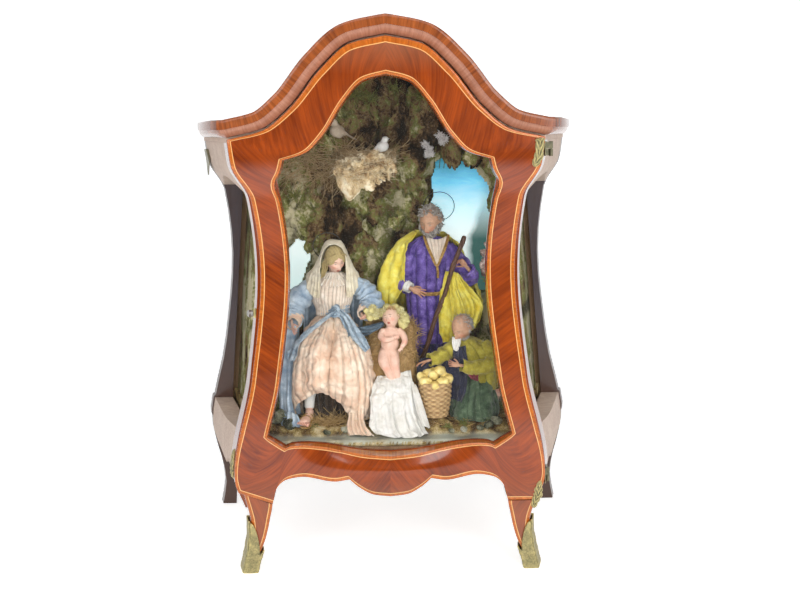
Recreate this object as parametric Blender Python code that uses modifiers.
# Neapolitan nativity scene in a glazed, bell-topped case.
# Metres, +Z up, the door faces -Y. The origin is on the floor under the middle of the whole case.
# Depths are measured back from the front plane, on which the front feet stand.

import math

import bmesh
import bpy
import numpy as np
from mathutils import Matrix, Vector

# Whole case
HEIGHT = 0.860
FRONT_REACH = 0.030       # how far the cornice stands in front of the front plane
CASE_DEPTH = 0.360        # front plane to the back of the case
SPLAY = 0.243             # how much wider each side gets for each metre of depth
SEAT = 0.0003             # clearance between touching pieces
SOFT_SEAT = 0.00045       # the same between garments and scenery

# Half-widths of the front with their heights, from foot to shoulder
FOOT_HALF = 0.2345
ANKLE_Z, ANKLE_HALF = 0.070, 0.2195
KNEE_Z, KNEE_HALF = 0.157, 0.2434
FLANK_Z, FLANK_HALF = 0.312, 0.2127
WAIST_Z, WAIST_HALF = 0.480, 0.1955
NECK_Z, NECK_HALF = 0.590, 0.2062
FLARE_Z, FLARE_HALF = 0.640, 0.2335
SHOULDER_Z, SHOULDER_HALF = 0.680, 0.239

# How far the front bows forward at those heights
FOOT_BOW = 0.004
ANKLE_BOW = -0.003
HINGE_BOW = 0.008         # at the knee and at the shoulder, where the hinges are
FLANK_BOW = 0.000
WAIST_BOW = -0.008
NECK_BOW = -0.001
BELLY = 0.020             # extra swell in the middle of the door's bottom rail
BELLY_Z, BELLY_SPREAD, BELLY_HALF = 0.165, 0.045, 0.190

# Cornice and roof
CORNICE_HEIGHT = 0.026
CAVETTO_HEIGHT = 0.010
DOOR_TOP_GAP = 0.003
SIDE_OVERHANG, REAR_OVERHANG = 0.0235, 0.0115
CANT_FRONT, CANT_SIDE = 0.011, 0.012   # where the canted corner starts on the front and on the side
CORNICE_BACK = 0.040
BELL_STEPS = 13           # straight stretches in each half of the bell line
ROOF_THICKNESS = 0.007

# Door
DOOR_THICKNESS = 0.018
STILE_WIDTH = 0.0438
OPENING_TOP_Z = HEIGHT - 0.086   # the arched rail keeps its width under the cornice
OPENING_SHOULDER_Z, OPENING_SHOULDER_HALF = 0.6485, 0.1555
NOTCH_Z, NOTCH_HALF = 0.6185, 0.1675
SILL_CORNER_Z = 0.2215
SILL_NOTCH_Z, SILL_NOTCH_HALF = 0.2045, 0.163
SILL_CREST_Z, SILL_CREST_HALF = 0.2095, 0.135
SILL_MIDDLE_Z = 0.1935
LEG_JOINT_Z = 0.112       # height of the joint between door and leg at the leg's inner edge
LATCH_JOINT_Z = 0.132     # the same at the outer edge, on the latch side
HINGE_JOINT_Z = 0.1121    # and on the hinge side, where the door has to swing over the leg
LEG_INNER_HALF = 0.1855
APRON_ARCH_Z, APRON_ARCH_HALF = 0.158, 0.135
APRON_DIP_Z, APRON_DIP_HALF = 0.1515, 0.088
APRON_CUSP_Z, APRON_CUSP_HALF = 0.156, 0.0634
APRON_LOBE_Z = 0.1247
LEG_JOINT_GAP = 0.0006
DOOR_REST = 0.0009        # clearance between the closed door and the posts behind it
REBATE_DEPTH, REBATE_WIDTH = 0.009, 0.005
LIP_WIDTH, LIP_PROUD = 0.005, 0.0022
EDGE_CHAMFER = 0.0022
GLASS_THICKNESS = 0.0025
BEAD_REVEAL = 0.0008

# Carcase
POST_BACK = 0.052
INNER_LOW_Z, INNER_LOW_HALF = 0.210, 0.205
INNER_HIGH_Z, INNER_HIGH_HALF = 0.566, WAIST_HALF - 0.019
REAR_POST_DEPTH = 0.024
KNEE_BLOCK_TOP, KNEE_BLOCK_BOTTOM = 0.209, 0.172
KNEE_BLOCK_PROUD = 0.003
TOP_RAIL_ENDS_Z, TOP_RAIL_ARCH_Z = 0.598, 0.620
BOTTOM_RAIL_FRONT_Z, BOTTOM_RAIL_MIDDLE_Z, BOTTOM_RAIL_REAR_Z = 0.223, 0.208, 0.205
SIDE_APRON_FRONT_Z, SIDE_APRON_REAR_Z = 0.156, 0.087
SIDE_APRON_CREST_Z, SIDE_APRON_CREST_DEPTH = 0.161, 0.078
PANE_LAP = 0.006
BACK_THICKNESS = 0.008
FLOOR_TOP, FLOOR_THICKNESS = 0.198, 0.012
FLOOR_LIP_DROP, FLOOR_LIP_DEPTH = 0.020, 0.020
FLOOR_FRONT = 0.0135

# Hinges, latch and bronze
HINGE_OUT = 0.0066        # hinge axis beyond the knee
KNUCKLE_RADIUS, KNUCKLE_LENGTH = 0.003, 0.0107
HINGE_PIN_RADIUS, HINGE_PIN_REACH = 0.0013, 0.008
LEAF_THICKNESS, LEAF_WIDTH = 0.0012, 0.016
LOWER_HINGE_Z, UPPER_HINGE_Z = 0.150, 0.662
LATCH_Z, LATCH_DEPTH = 0.410, 0.038
SPINDLE_RADIUS = 0.003
ROSETTE_RADIUS, ROSETTE_THICKNESS = 0.009, 0.004
KNOB_RADIUS, KNOB_LENGTH = 0.0062, 0.0105
TONGUE_LENGTH, TONGUE_WIDTH, TONGUE_THICKNESS = 0.0125, 0.008, 0.003
SABOT_WALL, SABOT_HEIGHT, SABOT_LOW, SABOT_SOLE = 0.0018, 0.072, 0.040, 0.006
RELIEF_PROUD = 0.004

# Scenery
GROUND_TOP, TERRACE_TOP = 0.207, 0.222
TERRACE_DEPTH = 0.045     # where the ground steps up behind the front shelf
ROCK_FRONT, ROCK_BACK = 0.190, CASE_DEPTH - 0.035
ROCK_SIDE_GAP, ROCK_ROOF_GAP = 0.005, 0.026
SKY_THICKNESS = 0.004
SKY_HALF, SKY_LOW_Z, SKY_HIGH_Z = 0.215, 0.350, 0.665

FRONT_PLANE = -(FRONT_REACH + CASE_DEPTH) / 2 + FRONT_REACH   # world Y of the front plane


# Materials: base colour, roughness, metallic
FINISHES = {
    "rosewood": ((0.33, 0.075, 0.022), 0.22, 0.0),
    "rosewood_side": ((0.42, 0.16, 0.09), 0.2, 0.0),
    "ebonised": ((0.022, 0.020, 0.022), 0.25, 0.0),
    "deal": ((0.45, 0.31, 0.16), 0.6, 0.0),
    "glass": ((0.9, 0.95, 0.95), 0.03, 0.0),
    "gilt_bronze": ((0.62, 0.55, 0.28), 0.35, 1.0),
    "steel": ((0.35, 0.34, 0.33), 0.35, 1.0),
    "cork": ((0.13, 0.10, 0.055), 0.9, 0.0),
    "moss": ((0.25, 0.21, 0.11), 0.95, 0.0),
    "sky": ((0.25, 0.55, 0.75), 0.8, 0.0),
    "straw": ((0.45, 0.34, 0.16), 0.9, 0.0),
    "feathers": ((0.55, 0.57, 0.56), 0.8, 0.0),
    "peach_silk": ((0.80, 0.62, 0.42), 0.45, 0.0),
    "blue_silk": ((0.45, 0.58, 0.70), 0.45, 0.0),
    "cream_cloth": ((0.78, 0.70, 0.48), 0.6, 0.0),
    "skin": ((0.72, 0.45, 0.30), 0.5, 0.0),
    "purple_cloth": ((0.14, 0.10, 0.36), 0.7, 0.0),
    "yellow_silk": ((0.75, 0.58, 0.06), 0.5, 0.0),
    "walnut": ((0.16, 0.09, 0.05), 0.5, 0.0),
    "wire": ((0.25, 0.22, 0.15), 0.4, 1.0),
    "white_cloth": ((0.85, 0.85, 0.80), 0.8, 0.0),
    "olive_cloth": ((0.42, 0.36, 0.06), 0.7, 0.0),
    "green_cloth": ((0.12, 0.20, 0.10), 0.7, 0.0),
    "wicker": ((0.50, 0.42, 0.20), 0.8, 0.0),
    "bread": ((0.75, 0.62, 0.28), 0.7, 0.0),
}


def clearObjects():
    for obj in list(bpy.data.objects):
        bpy.data.objects.remove(obj, do_unlink=True)


def newCollection(name):
    collection = bpy.data.collections.new(name)
    bpy.context.scene.collection.children.link(collection)
    return collection


def finish(name):
    material = bpy.data.materials.get(name)
    if material:
        return material
    colour, roughness, metallic = FINISHES[name]
    material = bpy.data.materials.new(name)
    material.use_nodes = True
    shader = material.node_tree.nodes["Principled BSDF"]
    shader.inputs["Base Color"].default_value = (*colour, 1.0)
    shader.inputs["Roughness"].default_value = roughness
    shader.inputs["Metallic"].default_value = metallic
    if name == "glass":
        shader.inputs["Alpha"].default_value = 0.3
    return material


# Curves worked out from the driving dimensions

def smoothThrough(points):
    # A monotone cubic through the points: it never overshoots them.
    xs, ys = (np.array(column, float) for column in zip(*sorted(points)))
    steps = np.diff(xs)
    slopes = np.diff(ys) / steps
    tangents = np.zeros(len(xs))
    for i in range(1, len(xs) - 1):
        if slopes[i - 1] * slopes[i] > 0:
            low = 2 * steps[i] + steps[i - 1]
            high = steps[i] + 2 * steps[i - 1]
            tangents[i] = (low + high) / (low / slopes[i - 1] + high / slopes[i])
    tangents[0] = slopes[0]
    tangents[-1] = slopes[-1]

    def value(x):
        x = np.clip(np.asarray(x, float), xs[0], xs[-1])
        i = np.clip(np.searchsorted(xs, x, side="right") - 1, 0, len(steps) - 1)
        t = (x - xs[i]) / steps[i]
        return (
            (1 + 2 * t) * (1 - t) ** 2 * ys[i]
            + t * (1 - t) ** 2 * steps[i] * tangents[i]
            + t * t * (3 - 2 * t) * ys[i + 1]
            + t * t * (t - 1) * steps[i] * tangents[i + 1]
        )

    return value


sideHalf = smoothThrough([
    (0.0, FOOT_HALF), (ANKLE_Z, ANKLE_HALF), (KNEE_Z, KNEE_HALF), (FLANK_Z, FLANK_HALF),
    (WAIST_Z, WAIST_HALF), (NECK_Z, NECK_HALF), (FLARE_Z, FLARE_HALF), (SHOULDER_Z, SHOULDER_HALF),
])
bow = smoothThrough([
    (0.0, FOOT_BOW), (ANKLE_Z, ANKLE_BOW), (KNEE_Z, HINGE_BOW), (FLANK_Z, FLANK_BOW),
    (WAIST_Z, WAIST_BOW), (NECK_Z, NECK_BOW), (UPPER_HINGE_Z, HINGE_BOW),
    (HEIGHT, HINGE_BOW),
])
# The bell line, as a share of the half-width and of the rise
bellShare = smoothThrough([(0.0, 1.0), (0.22, 0.925), (0.41, 0.675), (0.60, 0.305), (0.78, 0.085), (1.0, 0.0)])

DOOR_APEX_Z = HEIGHT - CORNICE_HEIGHT - DOOR_TOP_GAP
ROOF_SHOULDER_TOP = SHOULDER_Z + DOOR_TOP_GAP - SEAT
CARCASE_TOP = ROOF_SHOULDER_TOP - ROOF_THICKNESS - SEAT
REAR_POST_FRONT = CASE_DEPTH - REAR_POST_DEPTH
HINGE_X = KNEE_HALF + HINGE_OUT
HINGE_DEPTH = DOOR_THICKNESS - HINGE_BOW + SEAT


def worldY(depth):
    return FRONT_PLANE + depth


def belly(x, z):
    across = np.cos(np.clip(np.abs(x) / BELLY_HALF, 0, 1) * math.pi / 2) ** 2
    return BELLY * across * np.exp(-((z - BELLY_Z) / BELLY_SPREAD) ** 2)


def innerHalf(z):
    # The flat inner face of the side frames leans in towards the top.
    lean = (INNER_LOW_HALF - INNER_HIGH_HALF) / (INNER_HIGH_Z - INNER_LOW_Z)
    return INNER_LOW_HALF - lean * (z - INNER_LOW_Z)


def bellCurve(count=BELL_STEPS, half=SHOULDER_HALF, low=SHOULDER_Z, top=DOOR_APEX_Z):
    # Points from the middle out to the right end.
    share = np.linspace(0, 1, count + 1)
    return np.stack([share * half, low + (top - low) * bellShare(share)], 1)


def normalsUp(points):
    along = np.gradient(points, axis=0)
    along[0] = (1, 0)
    along[-1] = (1, 0)
    along /= np.linalg.norm(along, axis=1)[:, None]
    return np.stack([-along[:, 1], along[:, 0]], 1)


def mirrored(half):
    # A right half from top to bottom becomes a closed loop, both ends lying on the middle.
    return np.concatenate([half, (half * (-1, 1))[-2:0:-1]])


# Mesh building

def meshOf(name, points, faces):
    mesh = bpy.data.meshes.new(name)
    mesh.from_pydata([tuple(p) for p in points], [], [tuple(int(i) for i in f) for f in faces])
    tidy(mesh)
    return mesh


def tidy(mesh):
    work = bmesh.new()
    work.from_mesh(mesh)
    bmesh.ops.remove_doubles(work, verts=work.verts, dist=2e-6)
    bmesh.ops.dissolve_degenerate(work, edges=work.edges, dist=2e-6)
    bmesh.ops.recalc_face_normals(work, faces=work.faces)
    work.to_mesh(mesh)
    work.free()


def loft(name, sections, ring=False):
    # Sections are closed loops with the same number of points. A ring joins its last to its first.
    sections = np.asarray(sections, float)
    count, size, _ = sections.shape
    faces = []
    for i in range(count if ring else count - 1):
        below, above = i * size, (i + 1) % count * size
        for j in range(size):
            k = (j + 1) % size
            faces.append((below + j, below + k, above + k, above + j))
    if not ring:
        faces.append(range(size))
        faces.append(range((count - 1) * size, count * size))
    return triangulated(meshOf(name, sections.reshape(-1, 3), faces))


def triangulated(mesh):
    # A bent four-sided face then has the same two triangles in every grown copy.
    work = bmesh.new()
    work.from_mesh(mesh)
    bmesh.ops.triangulate(work, faces=work.faces)
    work.to_mesh(mesh)
    work.free()
    return mesh


def box(name, low, high):
    work = bmesh.new()
    bmesh.ops.create_cube(work, size=1.0)
    low, high = Vector(low), Vector(high)
    for vertex in work.verts:
        vertex.co = (low + high) / 2 + Vector(c * s for c, s in zip(vertex.co, high - low))
    mesh = bpy.data.meshes.new(name)
    work.to_mesh(mesh)
    work.free()
    return mesh


def cylinder(name, start, end, radius, sides=14, endRadius=None):
    start, end = Vector(start), Vector(end)
    work = bmesh.new()
    bmesh.ops.create_cone(
        work, cap_ends=True, segments=sides, radius1=radius,
        radius2=radius if endRadius is None else endRadius, depth=(end - start).length,
    )
    turn = (end - start).to_track_quat("Z", "Y").to_matrix().to_4x4()
    work.transform(Matrix.Translation((start + end) / 2) @ turn)
    mesh = bpy.data.meshes.new(name)
    work.to_mesh(mesh)
    work.free()
    return mesh


def ball(name, centre, radii, sides=12, tilt=0.0):
    # An ellipsoid, turned about Y by its tilt in degrees.
    work = bmesh.new()
    bmesh.ops.create_uvsphere(work, u_segments=sides, v_segments=max(8, sides // 2 + 2), radius=1.0)
    turn = Matrix.Rotation(math.radians(tilt), 4, "Y")
    work.transform(Matrix.Translation(centre) @ turn @ Matrix.Diagonal((*radii, 1.0)))
    mesh = bpy.data.meshes.new(name)
    work.to_mesh(mesh)
    work.free()
    return mesh


def upright(name, stations, sides=14):
    # An upright soft body: each station is height, x, depth and the two radii of its ellipse.
    turn = np.linspace(0, 2 * math.pi, sides, endpoint=False)
    return loft(name, [
        np.stack([x + rx * np.cos(turn), worldY(d) + rd * np.sin(turn), np.full(sides, z)], 1)
        for z, x, d, rx, rd in stations
    ])


def limb(name, stations, sides=8):
    # A sleeve, hand or leg: each station is x, depth, height and radius; its ends are rounded.
    stations = [list(s) for s in stations]
    points = np.array([(x, worldY(d), z) for x, d, z, _ in stations])
    radii = np.array([s[3] for s in stations])
    along = np.gradient(points, axis=0)
    along /= np.linalg.norm(along, axis=1)[:, None]
    first = points[0] - along[0] * radii[0] * 0.6
    last = points[-1] + along[-1] * radii[-1] * 0.6
    points = np.concatenate([[first], points, [last]])
    along = np.concatenate([[along[0]], along, [along[-1]]])
    radii = np.concatenate([[radii[0] * 0.55], radii, [radii[-1] * 0.55]])
    turn = np.linspace(0, 2 * math.pi, sides, endpoint=False)
    side = np.cross(along[0], (0, 0.3, 1))
    rings = []
    for point, direction, radius in zip(points, along, radii):
        side = side - direction * np.dot(side, direction)
        side /= np.linalg.norm(side)
        other = np.cross(direction, side)
        rings.append(point + radius * (np.cos(turn)[:, None] * side + np.sin(turn)[:, None] * other))
    return loft(name, rings)


def flatOutline(name, outlines, thickness, place):
    # A filled 2D curve given thickness, turned into a mesh so that it can be cut.
    curve = bpy.data.curves.new(name, "CURVE")
    curve.dimensions = "2D"
    curve.fill_mode = "BOTH"
    curve.extrude = thickness / 2
    for outline in outlines:
        spline = curve.splines.new("POLY")
        spline.points.add(len(outline) - 1)
        for point, (x, y) in zip(spline.points, outline):
            point.co = (x, y, 0, 1)
        spline.use_cyclic_u = True
    drawn = bpy.data.objects.new(name + "_outline", curve)
    drawn.matrix_world = place
    cutters.objects.link(drawn)
    bpy.context.view_layer.update()
    graph = bpy.context.evaluated_depsgraph_get()
    mesh = bpy.data.meshes.new_from_object(drawn.evaluated_get(graph))
    mesh.transform(place)
    bpy.data.objects.remove(drawn)
    bpy.data.curves.remove(curve)
    tidy(mesh)
    return mesh


def frontPlate(name, outlines, depth, thickness):
    # Outlines in X and Z; the plate runs back from its depth.
    place = Matrix.Translation((0, worldY(depth + thickness / 2), 0)) @ Matrix.Rotation(math.pi / 2, 4, "X")
    return flatOutline(name, outlines, thickness, place)


def turned(name, profile, place, steps=18):
    # A profile of radius and height, from top to bottom down its outer side, turned about its own Z.
    mesh = bpy.data.meshes.new(name)
    mesh.from_pydata([(r, 0, z) for r, z in profile], [(i, i + 1) for i in range(len(profile) - 1)], [])
    spun = bpy.data.objects.new(name + "_profile", mesh)
    screw = spun.modifiers.new("turn", "SCREW")
    screw.axis = "Z"
    screw.steps = steps
    screw.render_steps = steps
    screw.use_merge_vertices = True
    screw.merge_threshold = 0.00001
    cutters.objects.link(spun)
    bpy.context.view_layer.update()
    graph = bpy.context.evaluated_depsgraph_get()
    solid = bpy.data.meshes.new_from_object(spun.evaluated_get(graph))
    bpy.data.objects.remove(spun)
    solid.transform(place)
    tidy(solid)
    return solid


# Cutting and joining

def combined(base, others, operation):
    # Applies exact Booleans one after another and gives back the resulting mesh.
    for other in others:
        first = bpy.data.objects.new("work", base)
        second = bpy.data.objects.new("cutter", other)
        for helper in (first, second):
            helper.hide_render = True
            helper.display_type = "WIRE"
            cutters.objects.link(helper)
        boolean = first.modifiers.new("boolean", "BOOLEAN")
        boolean.operation = operation
        boolean.solver = "EXACT"
        boolean.object = second
        bpy.context.view_layer.update()
        graph = bpy.context.evaluated_depsgraph_get()
        base = bpy.data.meshes.new_from_object(first.evaluated_get(graph))
        bpy.data.objects.remove(first)
        bpy.data.objects.remove(second)
    tidy(base)
    return base


def joined(*meshes):
    return combined(meshes[0], meshes[1:], "UNION")


def cut(base, *others):
    return combined(base, others, "DIFFERENCE")


def grown(mesh, by=SEAT):
    work = bmesh.new()
    work.from_mesh(mesh)
    work.normal_update()
    moves = [(v, v.normal * by * min(v.calc_shell_factor(), 2.0)) for v in work.verts]
    for vertex, move in moves:
        vertex.co += move
    result = bpy.data.meshes.new(mesh.name + "_grown")
    work.to_mesh(result)
    work.free()
    return result


def largest(mesh):
    # Drops the slivers that a cut leaves beside the main body.
    work = bmesh.new()
    work.from_mesh(mesh)
    unseen = set(work.faces)
    islands = []
    while unseen:
        stack = [unseen.pop()]
        island = set(stack)
        while stack:
            for edge in stack.pop().edges:
                for face in edge.link_faces:
                    if face in unseen:
                        unseen.discard(face)
                        island.add(face)
                        stack.append(face)
        islands.append(island)
    keep = max(islands, key=lambda island: sum(face.calc_area() for face in island))
    bmesh.ops.delete(work, geom=[face for face in work.faces if face not in keep], context="FACES")
    work.to_mesh(mesh)
    work.free()
    return mesh


def clearOf(mesh, *neighbours):
    # Cuts the neighbours, each grown by the seat clearance, out of a piece.
    return largest(cut(mesh, *[grown(neighbour) for neighbour in neighbours]))


pieces = {}


def place(name, mesh, finishName, parent=None, smooth=True):
    mesh.name = name
    mesh.materials.clear()
    mesh.materials.append(finish(finishName))
    if smooth:
        mesh.shade_smooth()
        mesh.set_sharp_from_angle(angle=math.radians(35))
    obj = bpy.data.objects.new(name, mesh)
    parts.objects.link(obj)
    if parent:
        obj.parent = parent
        obj.matrix_parent_inverse = parent.matrix_world.inverted()
    pieces[name] = mesh
    return obj


def axisEmpty(name, location):
    empty = bpy.data.objects.new(name, None)
    empty.location = location
    empty.empty_display_size = 0.05
    parts.objects.link(empty)
    bpy.context.view_layer.update()
    return empty


# Door outlines. Both are drawn in the same stretches, each with its number of steps.
NOTCH_STEPS, STILE_STEPS, CORNER_STEPS, JOINT_STEPS, APRON_STEPS, LOBE_STEPS = 3, 12, 5, 2, 10, 5


def stretch(points, count):
    # Points at even steps along a smooth line through the given ones.
    points = np.array(points, float)
    steps = np.linalg.norm(np.diff(points, axis=0), axis=1)
    along = np.concatenate([[0], np.cumsum(steps)])
    at = np.linspace(0, along[-1], count + 1)
    curves = [smoothThrough(list(zip(along, points[:, axis]))) for axis in (0, 1)]
    return np.stack([curve(at) for curve in curves], 1)


def runs(pieces_):
    return np.concatenate([pieces_[0]] + [piece[1:] for piece in pieces_[1:]])


def flank(high, low, count):
    heights = np.linspace(high, low, count + 1)
    return np.stack([sideHalf(heights), heights], 1)


def doorOutside(outerJointZ):
    # The right half of the door's outside, from the top down to the middle of the apron.
    jointHalf = float(sideHalf(outerJointZ))
    return runs([
        bellCurve(),
        flank(SHOULDER_Z, NOTCH_Z, NOTCH_STEPS),
        flank(NOTCH_Z, SILL_CORNER_Z, STILE_STEPS),
        flank(SILL_CORNER_Z, outerJointZ, CORNER_STEPS),
        stretch([(jointHalf, outerJointZ), (LEG_INNER_HALF, LEG_JOINT_Z)], JOINT_STEPS),
        stretch([
            (LEG_INNER_HALF, LEG_JOINT_Z), (LEG_INNER_HALF - 0.0035, LEG_JOINT_Z + 0.018),
            (LEG_INNER_HALF - 0.012, APRON_ARCH_Z - 0.013), (LEG_INNER_HALF - 0.0235, APRON_ARCH_Z - 0.005),
            (APRON_ARCH_HALF, APRON_ARCH_Z), (APRON_DIP_HALF, APRON_DIP_Z),
            (APRON_CUSP_HALF, APRON_CUSP_Z),
        ], APRON_STEPS),
        stretch([
            (APRON_CUSP_HALF, APRON_CUSP_Z), (APRON_CUSP_HALF * 0.75, (APRON_CUSP_Z + APRON_LOBE_Z) / 2 + 0.001),
            (APRON_CUSP_HALF * 0.4, APRON_LOBE_Z + 0.0035), (0, APRON_LOBE_Z),
        ], LOBE_STEPS),
    ])


def doorInside():
    # The right half of the glass opening, point for point beside the outside.
    cornerHalf = float(sideHalf(SILL_CORNER_Z)) - STILE_WIDTH
    heights = np.linspace(NOTCH_Z, SILL_CORNER_Z, STILE_STEPS + 1)
    blend = np.clip((NOTCH_Z - heights) / 0.03, 0, 1)
    stile = sideHalf(heights) - STILE_WIDTH
    stile = np.stack([NOTCH_HALF * (1 - blend) + stile * blend, heights], 1)
    return runs([
        bellCurve(BELL_STEPS, OPENING_SHOULDER_HALF, OPENING_SHOULDER_Z, OPENING_TOP_Z),
        stretch([
            (OPENING_SHOULDER_HALF, OPENING_SHOULDER_Z),
            (OPENING_SHOULDER_HALF + 0.0045, OPENING_SHOULDER_Z - 0.016), (NOTCH_HALF, NOTCH_Z),
        ], NOTCH_STEPS),
        stile,
        stretch([(cornerHalf, SILL_CORNER_Z), (SILL_NOTCH_HALF, SILL_NOTCH_Z)], CORNER_STEPS + JOINT_STEPS),
        stretch([
            (SILL_NOTCH_HALF, SILL_NOTCH_Z), (SILL_CREST_HALF + 0.02, SILL_CREST_Z - 0.0015),
            (SILL_CREST_HALF, SILL_CREST_Z), (SILL_CREST_HALF - 0.03, SILL_CREST_Z - 0.002),
            (APRON_CUSP_HALF + 0.014, SILL_CREST_Z - 0.0065),
        ], APRON_STEPS),
        stretch([
            (APRON_CUSP_HALF + 0.014, SILL_CREST_Z - 0.0065), (0.040, SILL_MIDDLE_Z + 0.003),
            (0, SILL_MIDDLE_Z),
        ], LOBE_STEPS),
    ])


def bothSides(right, left):
    # A right half and a left half, both given for +X, become one closed loop.
    return np.concatenate([right, (left * (-1, 1))[-2:0:-1]])


def doorLoops():
    outside = bothSides(doorOutside(HINGE_JOINT_Z), doorOutside(LATCH_JOINT_Z))
    inside = mirrored(doorInside())
    across = inside - outside
    return outside, inside, across / np.linalg.norm(across, axis=1)[:, None]


def onDoor(flat, depth, swell=True):
    x, z = flat[:, 0], flat[:, 1]
    forward = bow(z) + (belly(x, z) if swell else 0.0)
    return np.stack([x, worldY(depth - forward), z], 1)


def makeDoor(axis):
    outside, inside, toInside = doorLoops()

    def fromOutside(distance):
        return outside + toInside * distance

    def fromInside(distance):
        return inside - toInside * distance

    def share(part):
        return outside + (inside - outside) * part

    columns = [
        onDoor(outside, EDGE_CHAMFER),
        onDoor(fromOutside(EDGE_CHAMFER), 0.0),
        onDoor(share(0.33), 0.0),
        onDoor(share(0.62), 0.0),
        onDoor(fromInside(LIP_WIDTH * 1.25), 0.0),
        onDoor(fromInside(LIP_WIDTH), -LIP_PROUD),
        onDoor(fromInside(LIP_WIDTH * 0.25), -LIP_PROUD),
        onDoor(inside, LIP_PROUD / 2),
        onDoor(inside, REBATE_DEPTH, False),
        onDoor(fromInside(REBATE_WIDTH), REBATE_DEPTH, False),
        onDoor(fromInside(REBATE_WIDTH), DOOR_THICKNESS, False),
        onDoor(share(0.4), DOOR_THICKNESS, False),
        onDoor(outside, DOOR_THICKNESS, False),
    ]
    frame = loft("door_frame", np.stack(columns, 1), ring=True)
    place("door_frame", frame, "rosewood", axis)

    glassBack = REBATE_DEPTH + SEAT + GLASS_THICKNESS
    heights = np.unique(np.round(inside[:, 1], 3))
    heights = np.concatenate([[heights[0] - 0.02], heights, [heights[-1] + 0.02]])
    bent = loft("door_glass", [
        [(x, worldY(d - bow(z)), z) for x, d in (
            (-SHOULDER_HALF, REBATE_DEPTH + SEAT), (SHOULDER_HALF, REBATE_DEPTH + SEAT),
            (SHOULDER_HALF, glassBack), (-SHOULDER_HALF, glassBack))]
        for z in heights
    ])
    paneEdge = fromInside(REBATE_WIDTH - SEAT)
    outline = frontPlate("pane", [paneEdge], -FRONT_REACH, CASE_DEPTH / 2)
    place("door_glass", combined(bent, [outline], "INTERSECT"), "glass", axis)

    beadFront = glassBack + SEAT * 2
    bead = loft("door_glazing_bead", np.stack([
        onDoor(fromInside(-BEAD_REVEAL), beadFront, False),
        onDoor(fromInside(REBATE_WIDTH - SEAT), beadFront, False),
        onDoor(fromInside(REBATE_WIDTH - SEAT), DOOR_THICKNESS, False),
        onDoor(fromInside(-BEAD_REVEAL), DOOR_THICKNESS - BEAD_REVEAL, False),
    ], 1), ring=True)
    place("door_glazing_bead", bead, "rosewood", axis)


# Carcase

legInner = smoothThrough([
    (0.0, LEG_INNER_HALF + 0.0285), (0.023, LEG_INNER_HALF + 0.0225), (0.053, LEG_INNER_HALF + 0.0110),
    (0.085, LEG_INNER_HALF + 0.0040), (LEG_JOINT_Z, LEG_INNER_HALF), (LATCH_JOINT_Z, LEG_INNER_HALF),
])
legBack = smoothThrough([
    (0.0, 0.025), (ANKLE_Z, 0.026), (LEG_JOINT_Z, 0.029), (LEG_JOINT_Z + 0.03, 0.036), (KNEE_Z, POST_BACK),
])
LEG_CORNER = 0.004        # chamfer down the edges of the leg
FOOT_TAPER = 0.0022       # the wooden foot is slimmer where the bronze shoe covers it


def roundedQuad(side, z, front, back, inner, outer, corner):
    # A plan section with chamfered corners; x follows the splay of the side and z is a function of x.
    plan = [
        (inner, front + corner), (inner + corner, front), (outer - corner, front), (outer, front + corner),
        (outer, back - corner), (outer - corner, back), (inner + corner, back), (inner, back - corner),
    ]
    return [(side * (x + SPLAY * d), worldY(d), z(x)) for x, d in plan]


def makeLeg(side, jointOuterZ, grow=0.0):
    # The cabriole leg up to the joint with the door.
    sections = []
    low = -0.002 if grow > SABOT_WALL else SABOT_SOLE - grow
    slope = (jointOuterZ - LEG_JOINT_Z) / (float(sideHalf(jointOuterZ)) - LEG_INNER_HALF)
    for share in np.linspace(0, 1, 13):
        level = low + (LEG_JOINT_Z - LEG_JOINT_GAP - low) * share
        lean = slope * share ** 3

        def heights(x, level=level, lean=lean):
            return level + lean * max(0.0, x - LEG_INNER_HALF)

        taper = FOOT_TAPER * max(0.0, 1 - level / SABOT_HEIGHT) - grow
        sections.append(roundedQuad(
            side, heights, -float(bow(level)) + taper, float(legBack(level)) - taper,
            float(legInner(level)) + taper, float(sideHalf(level)) - taper, LEG_CORNER,
        ))
    return loft("leg", sections)


def makeFrontPost(side, name, jointOuterZ):
    heights = np.concatenate([
        np.linspace(LEG_JOINT_Z - 0.016, SILL_CORNER_Z, CORNER_STEPS + 2)[:-1],
        np.linspace(SILL_CORNER_Z, NOTCH_Z, STILE_STEPS + 1), np.linspace(NOTCH_Z, CARCASE_TOP, NOTCH_STEPS + 3)[1:],
    ])
    sections = []
    for z in heights:
        front = DOOR_THICKNESS - float(bow(z)) + SEAT
        sections.append([
            (side * (half + SPLAY * depth), worldY(depth), z)
            for half, depth in (
                (float(innerHalf(z)), front), (float(sideHalf(z)), front),
                (float(sideHalf(z)), float(legBack(z))), (float(innerHalf(z)), float(legBack(z))))
        ])
    # The post is scribed to the back of the door.
    post = cut(joined(loft(name, sections), makeLeg(side, jointOuterZ)), grown(pieces["door_frame"], DOOR_REST))
    if side < 0:
        seat = latchSeat()
        axisY, away = worldY(LATCH_DEPTH), FRONT_REACH
        post = cut(
            post,
            cylinder("bore", (seat - away, axisY, LATCH_Z), (seat + away, axisY, LATCH_Z), SPINDLE_RADIUS + SEAT, 16),
            cylinder("spot_face", (seat - away, axisY, LATCH_Z), (seat + SEAT, axisY, LATCH_Z),
                     ROSETTE_RADIUS + SEAT, 24),
        )
    place(name, post, "rosewood")


rearLegOuter = smoothThrough([
    (0.0, FOOT_HALF + 0.0765), (0.045, FOOT_HALF + 0.069), (0.085, FOOT_HALF + 0.0745),
    (0.125, KNEE_HALF + 0.0761), (KNEE_BLOCK_BOTTOM, KNEE_HALF + 0.0811),
])


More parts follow.
